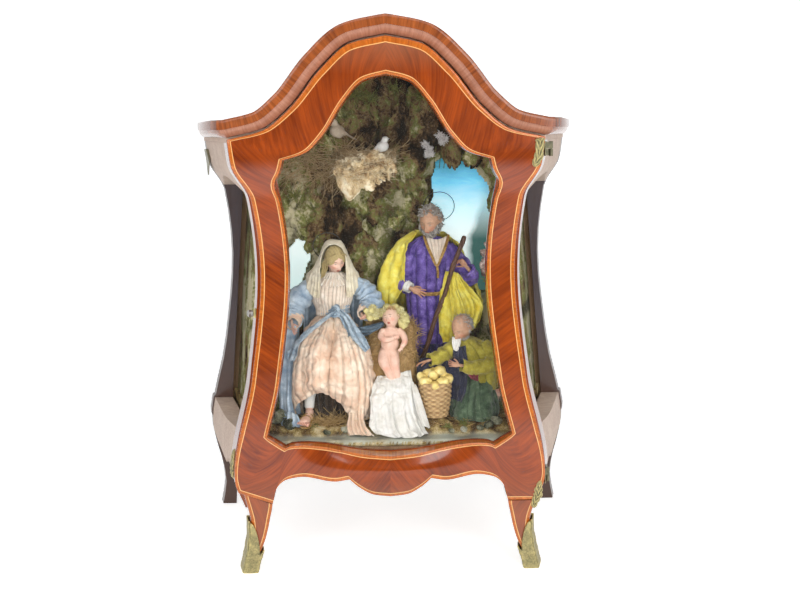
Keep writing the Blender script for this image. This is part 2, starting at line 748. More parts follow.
def rearOuter(z, depth):
    blend = np.clip((z - 0.125) / (KNEE_BLOCK_BOTTOM - 0.125), 0, 1)
    leg = float(rearLegOuter(z)) + SPLAY * (depth - REAR_POST_FRONT)
    shaft = float(sideHalf(z)) + SPLAY * depth
    return leg * (1 - blend) + shaft * blend


rearLegInner = smoothThrough([
    (0.0, 0.0515), (0.045, 0.049), (0.085, 0.055), (0.125, 0.059), (KNEE_BLOCK_BOTTOM, 0.060),
])


def makeRearPost(side, name):
    heights = np.concatenate([
        np.linspace(0, KNEE_BLOCK_BOTTOM, 9), np.linspace(KNEE_BLOCK_TOP - 0.01, NECK_Z, 11),
        np.linspace(NECK_Z + 0.012, CARCASE_TOP, 8),
    ])
    sections = []
    for z in heights:
        section = []
        for outer, depth in ((False, REAR_POST_FRONT), (True, REAR_POST_FRONT), (True, CASE_DEPTH), (False, CASE_DEPTH)):
            if outer:
                x = rearOuter(z, depth)
            else:
                x = float(innerHalf(z)) + SPLAY * depth
                if z < KNEE_BLOCK_BOTTOM:
                    x = min(x, FOOT_HALF + float(rearLegInner(z)) + SPLAY * (depth - REAR_POST_FRONT))
                if z < 0.13:
                    x = FOOT_HALF + float(rearLegInner(z)) + SPLAY * (depth - REAR_POST_FRONT)
            section.append((side * x, worldY(depth), z))
        sections.append(section)
    block = []
    for z in (KNEE_BLOCK_BOTTOM, KNEE_BLOCK_BOTTOM + 0.01, KNEE_BLOCK_TOP - 0.002, KNEE_BLOCK_TOP):
        shrink = 0.0015 if z in (KNEE_BLOCK_BOTTOM, KNEE_BLOCK_TOP) else 0.0
        front = REAR_POST_FRONT + SEAT
        block.append([
            (side * (half + SPLAY * depth), worldY(depth), z)
            for half, depth in (
                (float(innerHalf(z)) + SEAT, front), (float(sideHalf(z)) + KNEE_BLOCK_PROUD - shrink, front),
                (float(sideHalf(z)) + KNEE_BLOCK_PROUD - shrink, CASE_DEPTH - 0.001),
                (float(innerHalf(z)) + SEAT, CASE_DEPTH - 0.001))
        ])
    place(name, joined(loft(name, sections), loft("block", block)), "ebonised")


def sideRail(name, side, lowAt, highAt, finishName):
    # A shaped rail between the posts: curved outside, flat inside, its edges given along the depth.
    sections = []
    for depth in np.linspace(POST_BACK + SEAT, REAR_POST_FRONT - SEAT, 9):
        low, high = float(lowAt(depth)), float(highAt(depth))
        levels = np.linspace(low, high, 7)
        section = [(float(sideHalf(z)), z) for z in levels]
        section += [(float(innerHalf(high)), high), (float(innerHalf(low)), low)]
        sections.append([(side * (half + SPLAY * depth), worldY(depth), z) for half, z in section])
    place(name, loft(name, sections), finishName)


def makeSides():
    middle = (POST_BACK + REAR_POST_FRONT) / 2
    ends = (POST_BACK, REAR_POST_FRONT)
    railLow = smoothThrough([(ends[0], TOP_RAIL_ENDS_Z), (middle, TOP_RAIL_ARCH_Z), (ends[1], TOP_RAIL_ENDS_Z)])
    railTop = smoothThrough([
        (ends[0], BOTTOM_RAIL_FRONT_Z), (middle, BOTTOM_RAIL_MIDDLE_Z), (ends[1], BOTTOM_RAIL_REAR_Z)])
    apron = smoothThrough([
        (ends[0], SIDE_APRON_FRONT_Z), (SIDE_APRON_CREST_DEPTH, SIDE_APRON_CREST_Z),
        (middle, SIDE_APRON_REAR_Z + (SIDE_APRON_CREST_Z - SIDE_APRON_REAR_Z) * 0.5), (ends[1], SIDE_APRON_REAR_Z),
    ])
    for side, word in ((-1, "left"), (1, "right")):
        sideRail(f"side_top_rail_{word}", side, railLow, lambda d: CARCASE_TOP, "rosewood_side")
        sideRail(f"side_bottom_rail_{word}", side, apron, railTop, "rosewood_side")
        low, high = FLOOR_TOP + SEAT, TOP_RAIL_ARCH_Z + PANE_LAP
        front, back = POST_BACK - PANE_LAP, REAR_POST_FRONT + PANE_LAP
        pane = [
            [(side * (float(innerHalf(z)) + SPLAY * d - offset), worldY(d), z)
             for z, d in ((low, front), (low, back), (high, back), (high, front))]
            for offset in (SEAT, SEAT + GLASS_THICKNESS)
        ]
        place(f"side_glass_{word}", loft("pane", pane), "glass", smooth=False)


def makeFloor():
    half = float(innerHalf(FLOOR_TOP)) - SEAT
    back = CASE_DEPTH - BACK_THICKNESS - SEAT
    plan = [
        (side * (half + SPLAY * depth), worldY(depth))
        for side, depth in ((-1, FLOOR_FRONT), (1, FLOOR_FRONT), (1, back), (-1, back))
    ]
    board = loft("floor_board", [[(x, y, z) for x, y in plan] for z in (FLOOR_TOP - FLOOR_THICKNESS, FLOOR_TOP)])
    lipHalf = LEG_INNER_HALF
    lipTop = FLOOR_TOP - FLOOR_THICKNESS
    lip = box(
        "lip", (-lipHalf, worldY(FLOOR_FRONT + 0.001), lipTop - FLOOR_LIP_DROP),
        (lipHalf, worldY(FLOOR_FRONT + FLOOR_LIP_DEPTH), lipTop + 0.004),
    )
    place("floor_board", joined(board, lip), "deal", smooth=False)


def roofUnderside(points):
    # The bell curve brought down to the underside of the roof.
    return points - (0, SHOULDER_Z - CARCASE_TOP - SEAT)


def makeRoof():
    rightHalf = bellCurve()
    curve = np.concatenate([(rightHalf * (-1, 1))[:0:-1], rightHalf])
    top = curve + (0, ROOF_SHOULDER_TOP - SHOULDER_Z)
    front = DOOR_THICKNESS - HINGE_BOW + DOOR_REST
    sections = []
    for depth in (front, CASE_DEPTH):
        edge = np.array((SHOULDER_HALF + SPLAY * depth, ROOF_SHOULDER_TOP))
        row = np.concatenate([[edge * (-1, 1)], top, [edge]])
        underside = (row - (0, ROOF_THICKNESS))[::-1]
        sections.append([(x, worldY(depth), z) for x, z in np.concatenate([row, underside])])
    place("roof_panel", loft("roof_panel", sections), "deal")


def makeBack():
    rightHalf = roofUnderside(bellCurve())
    rightHalf[:, 1] -= SEAT
    depth = CASE_DEPTH - BACK_THICKNESS
    low = FLOOR_TOP - FLOOR_THICKNESS - FLOOR_LIP_DROP
    shoulder = float(rightHalf[-1, 1])
    edges = [(float(innerHalf(z)) + SPLAY * depth - SEAT, z) for z in (shoulder, low)]
    right = np.concatenate([rightHalf, edges])
    outline = np.concatenate([right, (right * (-1, 1))[:0:-1]])
    place("back_panel", frontPlate("back_panel", [outline], depth, BACK_THICKNESS), "deal", smooth=False)


def makeCornice():
    # The crown follows the bell over the front, turns the canted corners and runs back along the sides.
    reach = FRONT_REACH
    cove = [(CAVETTO_HEIGHT * (1 - math.cos(a)), reach * 0.2 + reach * 0.55 * math.sin(a) ** 2)
            for a in np.linspace(0, math.pi / 2, 5)]
    top = CORNICE_HEIGHT
    profile = [(0.0, None)] + cove + [
        (CAVETTO_HEIGHT + 0.0015, reach * 0.78), (CAVETTO_HEIGHT + 0.0015, reach),
        (top - 0.003, reach), (top, reach - 0.002), (top, None),
    ]
    half = bellCurve()
    curve = np.concatenate([(half * (-1, 1))[:0:-1], half])
    ups = normalsUp(curve)
    sections = []

    def section(base, up, outward, back):
        rows = []
        for height, out in profile:
            step = back if out is None else outward * (out / reach)
            rows.append(base + up * height + step)
        sections.append(rows)

    level = np.array((0.0, 0.0, 1.0))
    base0 = SHOULDER_Z + DOOR_TOP_GAP
    inward = np.array((0, CORNICE_BACK, 0))

    def corner(side, stage):
        # Stage 0 is the back end, 1 the side end of the cant, 2 its front end.
        base = np.array((side * SHOULDER_HALF, worldY(0.0), base0))
        if stage == 0:
            base = np.array((side * (SHOULDER_HALF + SPLAY * CASE_DEPTH), worldY(CASE_DEPTH), base0))
            section(base, level, np.array((side * REAR_OVERHANG, 0, 0)), np.array((-side * CORNICE_BACK * 0.5, 0, 0)))
            return
        if stage == 1:
            section(base, level, np.array((side * SIDE_OVERHANG, -CANT_SIDE, 0)), inward)
        else:
            section(base, level, np.array((side * CANT_FRONT, -reach, 0)), inward)

    corner(-1, 0)
    corner(-1, 1)
    corner(-1, 2)
    for (x, z), (upX, upZ) in list(zip(curve, ups))[1:-1]:
        base = np.array((x, worldY(0.0), z)) + DOOR_TOP_GAP * np.array((upX, 0, upZ))
        section(base, np.array((upX, 0, upZ)), np.array((0, -reach, 0)), inward)
    corner(1, 2)
    corner(1, 1)
    corner(1, 0)
    place("cornice", loft("cornice", sections), "rosewood")


# Bronze, hinges and latch

def makeSabots():
    slope = (SABOT_HEIGHT - SABOT_LOW) / (ANKLE_HALF - float(legInner(SABOT_LOW)))
    spread = SABOT_LOW / slope
    # The shoe is high on its outer edge and low on the inner one.
    outline = [(-spread, 0), (spread, 0), (spread, SABOT_HEIGHT), (0, SABOT_HEIGHT),
               (-spread, SABOT_HEIGHT - slope * spread)]
    for side, word, jointZ in ((-1, "left", LATCH_JOINT_Z), (1, "right", HINGE_JOINT_Z)):
        keep = loft("keep", [
            [(side * (ANKLE_HALF + x), worldY(depth), z) for x, z in outline] for depth in (-FRONT_REACH, POST_BACK)
        ])
        shoe = combined(makeLeg(side, jointZ, FOOT_TAPER + SABOT_WALL), [keep], "INTERSECT")
        place(f"foot_sabot_{word}", largest(cut(shoe, makeLeg(side, jointZ, SEAT))), "gilt_bronze")


def leafRelief(spine, width, proud, onSurface):
    # A leaf along its spine: each spine point is an across position, a height and a share of the full width.
    sections = []
    for across, z, share in spine:
        half = width / 2 * share
        sections.append(
            [onSurface(across + half * t, z, SEAT) for t in (-1, -0.5, 0, 0.5, 1)]
            + [onSurface(across + half * t, z, SEAT + proud * p) for t, p in
               ((1, 0.3), (0.5, 0.85), (0, 1.0), (-0.5, 0.85), (-1, 0.3))]
        )
    return loft("leaf", sections)


def caseSide(z, depth):
    return float(sideHalf(z)) + SPLAY * depth


def onDoorFront(x, z, out):
    forward = float(bow(z)) + float(belly(np.array(x), np.array(z)))
    return (x, worldY(-forward - out), z)


def onLeftSide(depth, z, out):
    return (-(caseSide(z, depth) + out), worldY(depth), z)


def makeMounts(doorAxis):
    p = RELIEF_PROUD
    # On the door's right corners, clear of the hinges on its edge.
    leaf = leafRelief([
        (0.2225, 0.6380, 0.25), (0.2255, 0.6440, 0.8), (0.2295, 0.6530, 1.0), (0.2305, 0.6640, 1.0),
        (0.2305, 0.6740, 1.05), (0.2300, 0.6785, 0.8),
    ], 0.0145, p, onDoorFront)
    place("corner_mount_upper_right", clearOf(leaf, pieces["door_frame"]), "gilt_bronze", doorAxis)
    leaf = leafRelief([
        (0.2275, 0.0985, 0.4), (0.2275, 0.1060, 0.9), (0.2300, 0.1130, 1.0), (0.2325, 0.1200, 1.25),
        (0.2330, 0.1290, 1.2), (0.2340, 0.1370, 0.8), (0.2360, 0.1460, 0.3),
    ], 0.0105, p, onDoorFront)
    leaf = clearOf(leaf, pieces["door_frame"])
    leaf = largest(cut(leaf, makeLeg(1, HINGE_JOINT_Z, SEAT)))
    place("corner_mount_lower_right", leaf, "gilt_bronze", doorAxis)
    # The upper left one is a thin spray that hangs straight while the side curves in behind it.
    hang = [
        [(-(caseSide(0.655, REAR_POST_FRONT + d) + SEAT + out + lean), worldY(REAR_POST_FRONT + d), z)
         for d, out in plan]
        for z, lean, plan in (
            (0.616, 0.0, [(-0.018, 0.0), (-0.006, 0.0), (-0.006, 0.0014), (-0.018, 0.0014)]),
            (0.640, 0.0, [(-0.040, 0.0), (0.008, 0.0), (0.008, 0.0016), (-0.040, 0.0016)]),
            (0.662, 0.004, [(-0.032, -0.006), (0.002, -0.006), (0.002, 0.0016), (-0.032, 0.0016)]),
        )
    ]
    spray = clearOf(loft("spray", hang), pieces["rear_post_left"], pieces["side_top_rail_left"])
    place("corner_mount_upper_left", spray, "gilt_bronze")
    leaf = leafRelief([
        (0.034, 0.1470, 0.3), (0.032, 0.1540, 0.6), (0.034, 0.1585, 2.4), (0.034, 0.1640, 2.6),
        (0.028, 0.1690, 0.9), (0.026, 0.1800, 1.0), (0.024, 0.1950, 0.3),
    ], 0.018, p, onLeftSide)
    leaf = clearOf(leaf, pieces["front_post_left"], pieces["side_bottom_rail_left"])
    place("corner_mount_lower_left", leaf, "gilt_bronze")


def makeHinges(axis):
    axisY = worldY(HINGE_DEPTH)
    for word, middle in (("lower", LOWER_HINGE_Z), ("upper", UPPER_HINGE_Z)):
        low, high = middle - KNUCKLE_LENGTH, middle + KNUCKLE_LENGTH
        sideFace = float(max(sideHalf(low), sideHalf(high), sideHalf(middle))) + SEAT
        clear = KNUCKLE_RADIUS + SEAT
        # Case leaf: knuckle below, with the pin standing up from it.
        leafFront = HINGE_DEPTH + clear
        leaf = loft("leaf", [
            [(sideFace + SPLAY * d, worldY(d), z), (sideFace + LEAF_THICKNESS + SPLAY * d, worldY(d), z),
             (sideFace + LEAF_THICKNESS + SPLAY * e, worldY(e), z), (sideFace + SPLAY * e, worldY(e), z)]
            for z in (low, high)
            for d, e in ((leafFront, leafFront + LEAF_WIDTH),)
        ])
        web = box("web", (sideFace + SPLAY * leafFront + LEAF_THICKNESS * 0.3, axisY + KNUCKLE_RADIUS * 0.4, low + SEAT),
                  (HINGE_X, axisY + clear + LEAF_THICKNESS, middle - SEAT))
        knuckle = cylinder("knuckle", (HINGE_X, axisY, low - 0.0005), (HINGE_X, axisY, middle - SEAT), KNUCKLE_RADIUS)
        pin = cylinder("pin", (HINGE_X, axisY, middle - 0.002), (HINGE_X, axisY, middle + HINGE_PIN_REACH),
                       HINGE_PIN_RADIUS, 12)
        place(f"hinge_case_leaf_{word}", joined(knuckle, web, leaf, pin), "gilt_bronze")
        # Door leaf: knuckle above, hollow for the pin.
        leafBack = HINGE_DEPTH - clear
        plate = box("plate", (sideFace, worldY(leafBack - LEAF_WIDTH * 0.75), low),
                    (sideFace + LEAF_THICKNESS, worldY(leafBack), high))
        web = box("web", (sideFace + LEAF_THICKNESS * 0.3, axisY - clear - LEAF_THICKNESS, middle + SEAT),
                  (HINGE_X, axisY - KNUCKLE_RADIUS * 0.4, high - SEAT))
        knuckle = cylinder("knuckle", (HINGE_X, axisY, middle + SEAT), (HINGE_X, axisY, high + 0.0005), KNUCKLE_RADIUS)
        bore = cylinder("bore", (HINGE_X, axisY, middle - KNUCKLE_LENGTH),
                        (HINGE_X, axisY, middle + HINGE_PIN_REACH + SEAT), HINGE_PIN_RADIUS + SEAT, 12)
        place(f"hinge_door_leaf_{word}", cut(joined(knuckle, web, plate), bore), "gilt_bronze", axis)


def latchSeat():
    # World X of the flat under the rosette: the side's outside at the rosette's front edge.
    return -(caseSide(LATCH_Z, LATCH_DEPTH - ROSETTE_RADIUS) + SEAT)


def makeLatch(latchAxis, doorAxis):
    axisY = worldY(LATCH_DEPTH)
    seat = latchSeat()
    alongX = Matrix.Translation((seat, axisY, LATCH_Z)) @ Matrix.Rotation(-math.pi / 2, 4, "Y")
    bore = SPINDLE_RADIUS + SEAT
    t = ROSETTE_THICKNESS
    rosette = turned("latch_rosette", [
        (bore, t), (ROSETTE_RADIUS * 0.6, t), (ROSETTE_RADIUS * 0.85, t * 0.7), (ROSETTE_RADIUS, t * 0.3),
        (ROSETTE_RADIUS, 0), (bore, 0), (bore, t),
    ], alongX)
    place("latch_rosette", rosette, "gilt_bronze")

    foot = t + SEAT
    innerFace = -(float(innerHalf(LATCH_Z)) + SPLAY * (LATCH_DEPTH - TONGUE_LENGTH))
    hubStart = innerFace - seat + 0.001
    knob = turned("latch_knob", [
        (0, foot + KNOB_LENGTH), (KNOB_RADIUS * 0.6, foot + KNOB_LENGTH * 0.93),
        (KNOB_RADIUS, foot + KNOB_LENGTH * 0.6), (KNOB_RADIUS * 0.8, foot + KNOB_LENGTH * 0.3),
        (KNOB_RADIUS * 0.75, foot), (SPINDLE_RADIUS, foot), (SPINDLE_RADIUS, -hubStart),
        (SPINDLE_RADIUS * 1.7, -hubStart), (SPINDLE_RADIUS * 1.7, -hubStart - 0.006), (0, -hubStart - 0.006),
    ], alongX)
    tongueX = seat + hubStart + 0.002
    tongue = box(
        "tongue", (tongueX, axisY - TONGUE_LENGTH, LATCH_Z - TONGUE_WIDTH / 2),
        (tongueX + TONGUE_THICKNESS, axisY, LATCH_Z + TONGUE_WIDTH / 2),
    )
    place("latch_knob", joined(knob, tongue), "steel", latchAxis)

    # The keeper: a plate on the back of the stile, an arm above the tongue and a hook behind it.
    sweep = math.hypot(TONGUE_LENGTH, TONGUE_WIDTH / 2)
    back = worldY(DOOR_THICKNESS - float(bow(LATCH_Z + sweep * 1.4)) + SEAT * 2)
    armLow = LATCH_Z + sweep + 0.0016
    hookFront = axisY + TONGUE_WIDTH / 2 + 0.0006
    x0, x1 = tongueX - 0.0008, tongueX + TONGUE_THICKNESS + 0.0015
    plate = box("plate", (x0, back, armLow - 0.006), (x1 + 0.008, back + 0.0015, armLow + 0.010))
    arm = box("arm", (x0, back + 0.0005, armLow), (x1, hookFront + 0.003, armLow + 0.003))
    hook = box("hook", (x0, hookFront, LATCH_Z + TONGUE_WIDTH / 2 + 0.0015), (x1, hookFront + 0.0031, armLow + 0.0029))
    place("latch_keeper", joined(plate, arm, hook), "steel", doorAxis)


# Scenery. Every piece is joined from plain shapes, and those shapes cut the pieces made after it.

solids = {}


def build(name, finishName, shapes, clear=(), openings=()):
    # Joins the shapes, cuts the openings and the named neighbours out of them and places the piece.
    solids[name] = shapes
    mesh = joined(*shapes)
    if openings:
        mesh = cut(mesh, *openings)
    grownShapes = [grown(shape, SOFT_SEAT) for other in clear for shape in solids[other]]
    if grownShapes:
        mesh = cut(mesh, *grownShapes)
    place(name, largest(mesh), finishName)


def groundHalf(depth, z=GROUND_TOP):
    return float(innerHalf(z)) + SPLAY * depth - GLASS_THICKNESS - SEAT * 4


def makeGround():
    back = CASE_DEPTH - BACK_THICKNESS - SKY_THICKNESS - SEAT * 4
    front = FLOOR_FRONT + 0.004
    top = [
        (front, GROUND_TOP - 0.004), (front + 0.004, GROUND_TOP), (TERRACE_DEPTH - 0.004, GROUND_TOP + 0.001),
        (TERRACE_DEPTH + 0.010, TERRACE_TOP - 0.001), (TERRACE_DEPTH + 0.020, TERRACE_TOP), (back, TERRACE_TOP),
    ]
    low = FLOOR_TOP + SEAT
    profile = top + [(back, low), (front, low)]
    board = loft("ground_board", [
        [(side * groundHalf(depth, TERRACE_TOP), worldY(depth), z) for depth, z in profile] for side in (-1, 1)
    ])
    stone = upright("stone", [
        (TERRACE_TOP - 0.004, BASKET_X, BASKET_DEPTH, STONE_RADIUS * 1.2, STONE_RADIUS * 1.15),
        (STONE_TOP - 0.002, BASKET_X, BASKET_DEPTH, STONE_RADIUS * 1.1, STONE_RADIUS * 1.05),
        (STONE_TOP, BASKET_X, BASKET_DEPTH, STONE_RADIUS, STONE_RADIUS),
    ])
    build("ground_board", "moss", [board, stone])


def blob(points, steps=3):
    # A smooth closed outline through a few points.
    points = np.array(points, float)
    result = []
    for i in range(len(points)):
        a, b, c, d = (points[(i + k) % len(points)] for k in (-1, 0, 1, 2))
        for t in np.linspace(0, 1, steps, endpoint=False):
            result.append(0.5 * (
                2 * b + (c - a) * t + (2 * a - 5 * b + 4 * c - d) * t ** 2 + (3 * b - a - 3 * c + d) * t ** 3))
    return result


RIGHT_SKY = [(0.108, 0.640), (0.150, 0.612), (0.188, 0.545), (0.184, 0.470), (0.160, 0.405),
             (0.100, 0.420), (0.082, 0.520), (0.080, 0.600)]
LEFT_SKY = [(-0.134, 0.508), (-0.123, 0.470), (-0.140, 0.420), (-0.166, 0.405), (-0.174, 0.450), (-0.158, 0.485)]


def rockFace(x, z):
    # Depth of the rock's front: side columns and roof stand forward, the cave goes deep behind Joseph.
    cave = 0.075 * np.exp(-((x - 0.075) / 0.085) ** 4 - ((z - 0.40) / 0.20) ** 4)
    grotto = 0.050 * np.exp(-((x + 0.010) / 0.060) ** 2 - ((z - 0.50) / 0.13) ** 2)
    lumps = 0.006 * np.sin(31 * x + 2.0 * np.sin(23 * z)) * np.cos(37 * z + 1.3)
    return ROCK_FRONT + 0.008 + np.maximum(cave, grotto) + lumps


def rockHalf(z):
    # The rock stays inside the panes below and inside the bell of the roof above.
    wall = float(innerHalf(z)) + SPLAY * ROCK_FRONT - GLASS_THICKNESS - ROCK_SIDE_GAP
    if z < CARCASE_TOP - ROCK_ROOF_GAP:
        return wall
    curve = bellCurve(60) - (0, SHOULDER_Z - CARCASE_TOP + ROCK_ROOF_GAP)
    inside = curve[curve[:, 1] >= z]
    return min(wall, float(inside[:, 0].max())) if len(inside) else 0.02


def makeRock():
    low = TERRACE_TOP + SEAT
    high = DOOR_APEX_Z - ROOF_THICKNESS - ROCK_ROOF_GAP * 1.3
    columns, rows = 13, 15
    front, back = [], []
    for z in np.linspace(low, high, rows):
        room = rockHalf(z)
        for x in np.linspace(-room, room, columns):
            depth = float(rockFace(x, z))
            widen = 1 + SPLAY * (depth - ROCK_FRONT) / room
            front.append((x * widen, worldY(depth), z))
            widen = 1 + SPLAY * (ROCK_BACK - ROCK_FRONT) / room if z < CARCASE_TOP - ROCK_ROOF_GAP else 1
            back.append((x * widen, worldY(ROCK_BACK), z))
    size = columns * rows
    faces = []
    for i in range(rows - 1):
        for j in range(columns - 1):
            a = i * columns + j
            faces.append((a, a + 1, a + columns + 1, a + columns))
            faces.append((size + a, size + a + columns, size + a + columns + 1, size + a + 1))
    edge = list(range(columns)) + [i * columns + columns - 1 for i in range(1, rows)]
    edge += [(rows - 1) * columns + j for j in range(columns - 2, -1, -1)]
    edge += [i * columns for i in range(rows - 2, 0, -1)]
    for a, b in zip(edge, edge[1:] + edge[:1]):
        faces.append((a, size + a, size + b, b))
    rock = triangulated(meshOf("rock_cave", front + back, faces))
    holes = [frontPlate("hole", [blob(outline)], ROCK_FRONT - 0.05, 0.25) for outline in (RIGHT_SKY, LEFT_SKY)]
    build("rock_cave", "cork", [rock], openings=holes)


def makeSky():
    depth = CASE_DEPTH - BACK_THICKNESS - SKY_THICKNESS - SEAT
    outline = [(-SKY_HALF, SKY_LOW_Z), (SKY_HALF, SKY_LOW_Z), (SKY_HALF, SKY_HIGH_Z), (-SKY_HALF, SKY_HIGH_Z)]
    place("sky_panel", frontPlate("sky_panel", [outline], depth, SKY_THICKNESS), "sky", smooth=False)


def at(x, depth, z):
    return (x, worldY(depth), z)


def makeNest():
    build("nest_ledge", "straw", [
        ball("nest_ledge", at(-0.038, 0.182, 0.632), (0.056, 0.028, 0.020), 14, 3),
        ball("nest", at(-0.018, 0.176, 0.640), (0.036, 0.026, 0.014)),
        ball("bark", at(-0.058, 0.172, 0.608), (0.016, 0.014, 0.026), 12, -18),
    ], ["rock_cave"])
    build("dove", "feathers", [
        ball("dove", at(-0.008, 0.166, 0.663), (0.012, 0.009, 0.0095), 10, -20),
        ball("head", at(0.000, 0.163, 0.676), (0.006, 0.006, 0.007), 8),
        limb("tail", [(-0.014, 0.168, 0.660, 0.006), (-0.026, 0.172, 0.654, 0.0035)]),
    ], ["nest_ledge", "rock_cave"])


def halo(name, finishName, centre, radius, pinEnd, clear):
    # A wire ring, standing up behind the head on a short pin.
    wire = 0.0011
    turn = np.linspace(0, 2 * math.pi, 24, endpoint=False)
    small = np.linspace(0, 2 * math.pi, 5, endpoint=False)
    centre = np.array(centre)
    rings = []
    for angle in turn:
        outward = np.array((math.cos(angle), -0.35 * math.sin(angle), math.sin(angle)))
        outward /= np.linalg.norm(outward)
        rings.append([
            centre + outward * (radius + wire * math.cos(s)) + np.array((0, wire * math.sin(s), 0)) for s in small
        ])
    pinStart = centre + np.array((0, 0.33, -0.94)) * radius
    pin = cylinder("pin", pinStart, pinEnd, wire * 0.9, 6)
    build(name, finishName, [loft(name, rings, ring=True), pin], clear)


# Figures. Each is placed by the middle of its own body: X and depth.

MARY_X, MARY_DEPTH = -0.088, 0.130
JOSEPH_X, JOSEPH_DEPTH = 0.073, 0.200
SHEPHERD_X, SHEPHERD_DEPTH = 0.124, 0.102
CHILD_X, CHILD_DEPTH = 0.003, 0.094
BASKET_X, BASKET_DEPTH = 0.075, 0.076
BASKET_HEIGHT, BASKET_FOOT, BASKET_RIM, BASKET_WALL = 0.056, 0.0205, 0.0268, 0.0026
STONE_TOP, STONE_RADIUS = 0.231, 0.021


def makeChild():
    x, d = CHILD_X, CHILD_DEPTH
    build("child", "skin", [
        ball("child", at(x, d + 0.004, 0.352), (0.0165, 0.0125, 0.026), 12, 4),
        ball("head", at(x - 0.001, d + 0.002, 0.391), (0.0155, 0.016, 0.0175), 14, -8),
        limb("leg_left", [(x - 0.007, d - 0.001, 0.334, 0.0095), (x - 0.005, d - 0.013, 0.309, 0.008),
                          (x - 0.001, d - 0.018, 0.288, 0.0055)]),
        limb("leg_right", [(x + 0.007, d - 0.001, 0.334, 0.0095), (x + 0.009, d - 0.013, 0.309, 0.008),
                           (x + 0.008, d - 0.019, 0.286, 0.0055)]),
        limb("arm_left", [(x - 0.013, d + 0.002, 0.368, 0.0065), (x - 0.020, d - 0.006, 0.352, 0.0055),
                          (x - 0.010, d - 0.012, 0.344, 0.0045)]),
        limb("arm_right", [(x + 0.013, d + 0.002, 0.368, 0.0065), (x + 0.025, d, 0.354, 0.0055),
                           (x + 0.029, d - 0.004, 0.341, 0.0045)]),
    ])


def makeMary():
    x, d = MARY_X, MARY_DEPTH
    foot = TERRACE_TOP + SEAT
    build("mary_dress", "peach_silk", [upright("mary_dress", [
        (foot, x - 0.001, d - 0.026, 0.064, 0.054), (0.232, x - 0.003, d - 0.026, 0.068, 0.058),
        (0.290, x - 0.004, d - 0.030, 0.067, 0.060), (0.335, x - 0.005, d - 0.028, 0.058, 0.056),
        (0.362, x - 0.004, d - 0.018, 0.044, 0.042), (0.384, x - 0.002, d - 0.003, 0.029, 0.026),
        (0.400, x - 0.001, d, 0.024, 0.019), (0.424, x - 0.003, d - 0.002, 0.033, 0.022),
        (0.444, x, d + 0.001, 0.032, 0.018), (0.456, x + 0.001, d + 0.002, 0.015, 0.013),
        (0.459, x + 0.001, d + 0.002, 0.010, 0.010),
    ])])
    build("mary_head", "skin", [
        ball("mary_head", at(x + 0.003, d - 0.010, 0.4865), (0.0165, 0.0195, 0.0225), 14, 6),
        limb("neck", [(x + 0.001, d + 0.001, 0.4655, 0.0085), (x + 0.002, d - 0.003, 0.478, 0.009)]),
    ], ["mary_dress"])
    build("mary_mantle", "blue_silk", [
        upright("mary_mantle", [
            (0.345, x - 0.004, d + 0.018, 0.046, 0.026), (0.400, x - 0.003, d + 0.016, 0.047, 0.028),
            (0.435, x - 0.001, d + 0.012, 0.047, 0.028), (0.450, x, d + 0.010, 0.030, 0.020),
            (0.457, x, d + 0.010, 0.014, 0.014),
        ]),
        limb("sleeve_left", [(x - 0.034, d + 0.006, 0.438, 0.018), (x - 0.060, d - 0.002, 0.416, 0.022),
                             (x - 0.072, d - 0.010, 0.398, 0.022), (x - 0.069, d - 0.022, 0.388, 0.016)]),
        limb("sleeve_right", [(x + 0.036, d + 0.006, 0.438, 0.017), (x + 0.059, d + 0.002, 0.420, 0.020),
                              (x + 0.062, d - 0.012, 0.408, 0.018), (x + 0.054, d - 0.026, 0.400, 0.013)]),
        limb("drape", [(x - 0.064, d - 0.006, 0.385, 0.018), (x - 0.072, d - 0.012, 0.340, 0.016),
                       (x - 0.074, d - 0.022, 0.285, 0.014), (x - 0.070, d - 0.028, 0.237, 0.013)]),
    ], ["mary_dress", "mary_head", "child"])
    veil = upright("mary_veil", [
        (0.428, x, d + 0.014, 0.038, 0.032), (0.452, x, d + 0.012, 0.031, 0.028),
        (0.472, x + 0.001, d + 0.004, 0.026, 0.028), (0.490, x + 0.002, d - 0.005, 0.0235, 0.028),
        (0.505, x + 0.003, d - 0.008, 0.018, 0.022), (0.513, x + 0.003, d - 0.009, 0.010, 0.012),
        (0.515, x + 0.003, d - 0.009, 0.004, 0.005),
    ])
    build("mary_veil", "cream_cloth", [veil], ["mary_dress", "mary_head", "mary_mantle"], [
        ball("face", at(x + 0.006, d - 0.040, 0.474), (0.0215, 0.030, 0.030)),
        box("chest", at(x - 0.05, d - 0.06, 0.40), at(x + 0.05, d - 0.008, 0.462)),
    ])
    build("mary_hand_left", "skin", [
        limb("hand", [(x - 0.069, d - 0.024, 0.388, 0.0075), (x - 0.067, d - 0.040, 0.384, 0.0075),
                      (x - 0.063, d - 0.053, 0.379, 0.0045)]),
    ], ["mary_mantle", "mary_dress"])
    build("mary_hand_right", "skin", [
        limb("hand", [(x + 0.053, d - 0.028, 0.400, 0.007), (x + 0.048, d - 0.042, 0.396, 0.007),
                      (x + 0.049, d - 0.054, 0.390, 0.0045)]),
    ], ["mary_mantle", "mary_dress"])
    build("mary_foot", "skin", [
        limb("foot", [(x - 0.046, d - 0.070, 0.232, 0.0085), (x - 0.050, d - 0.084, 0.2305, 0.0075),
                      (x - 0.053, d - 0.096, 0.229, 0.0055)]),
    ], ["mary_dress", "ground_board"])
    halo("mary_halo", "wire", at(x - 0.010, d + 0.024, 0.503), 0.024, at(x + 0.002, d + 0.012, 0.4905), ["mary_veil"])


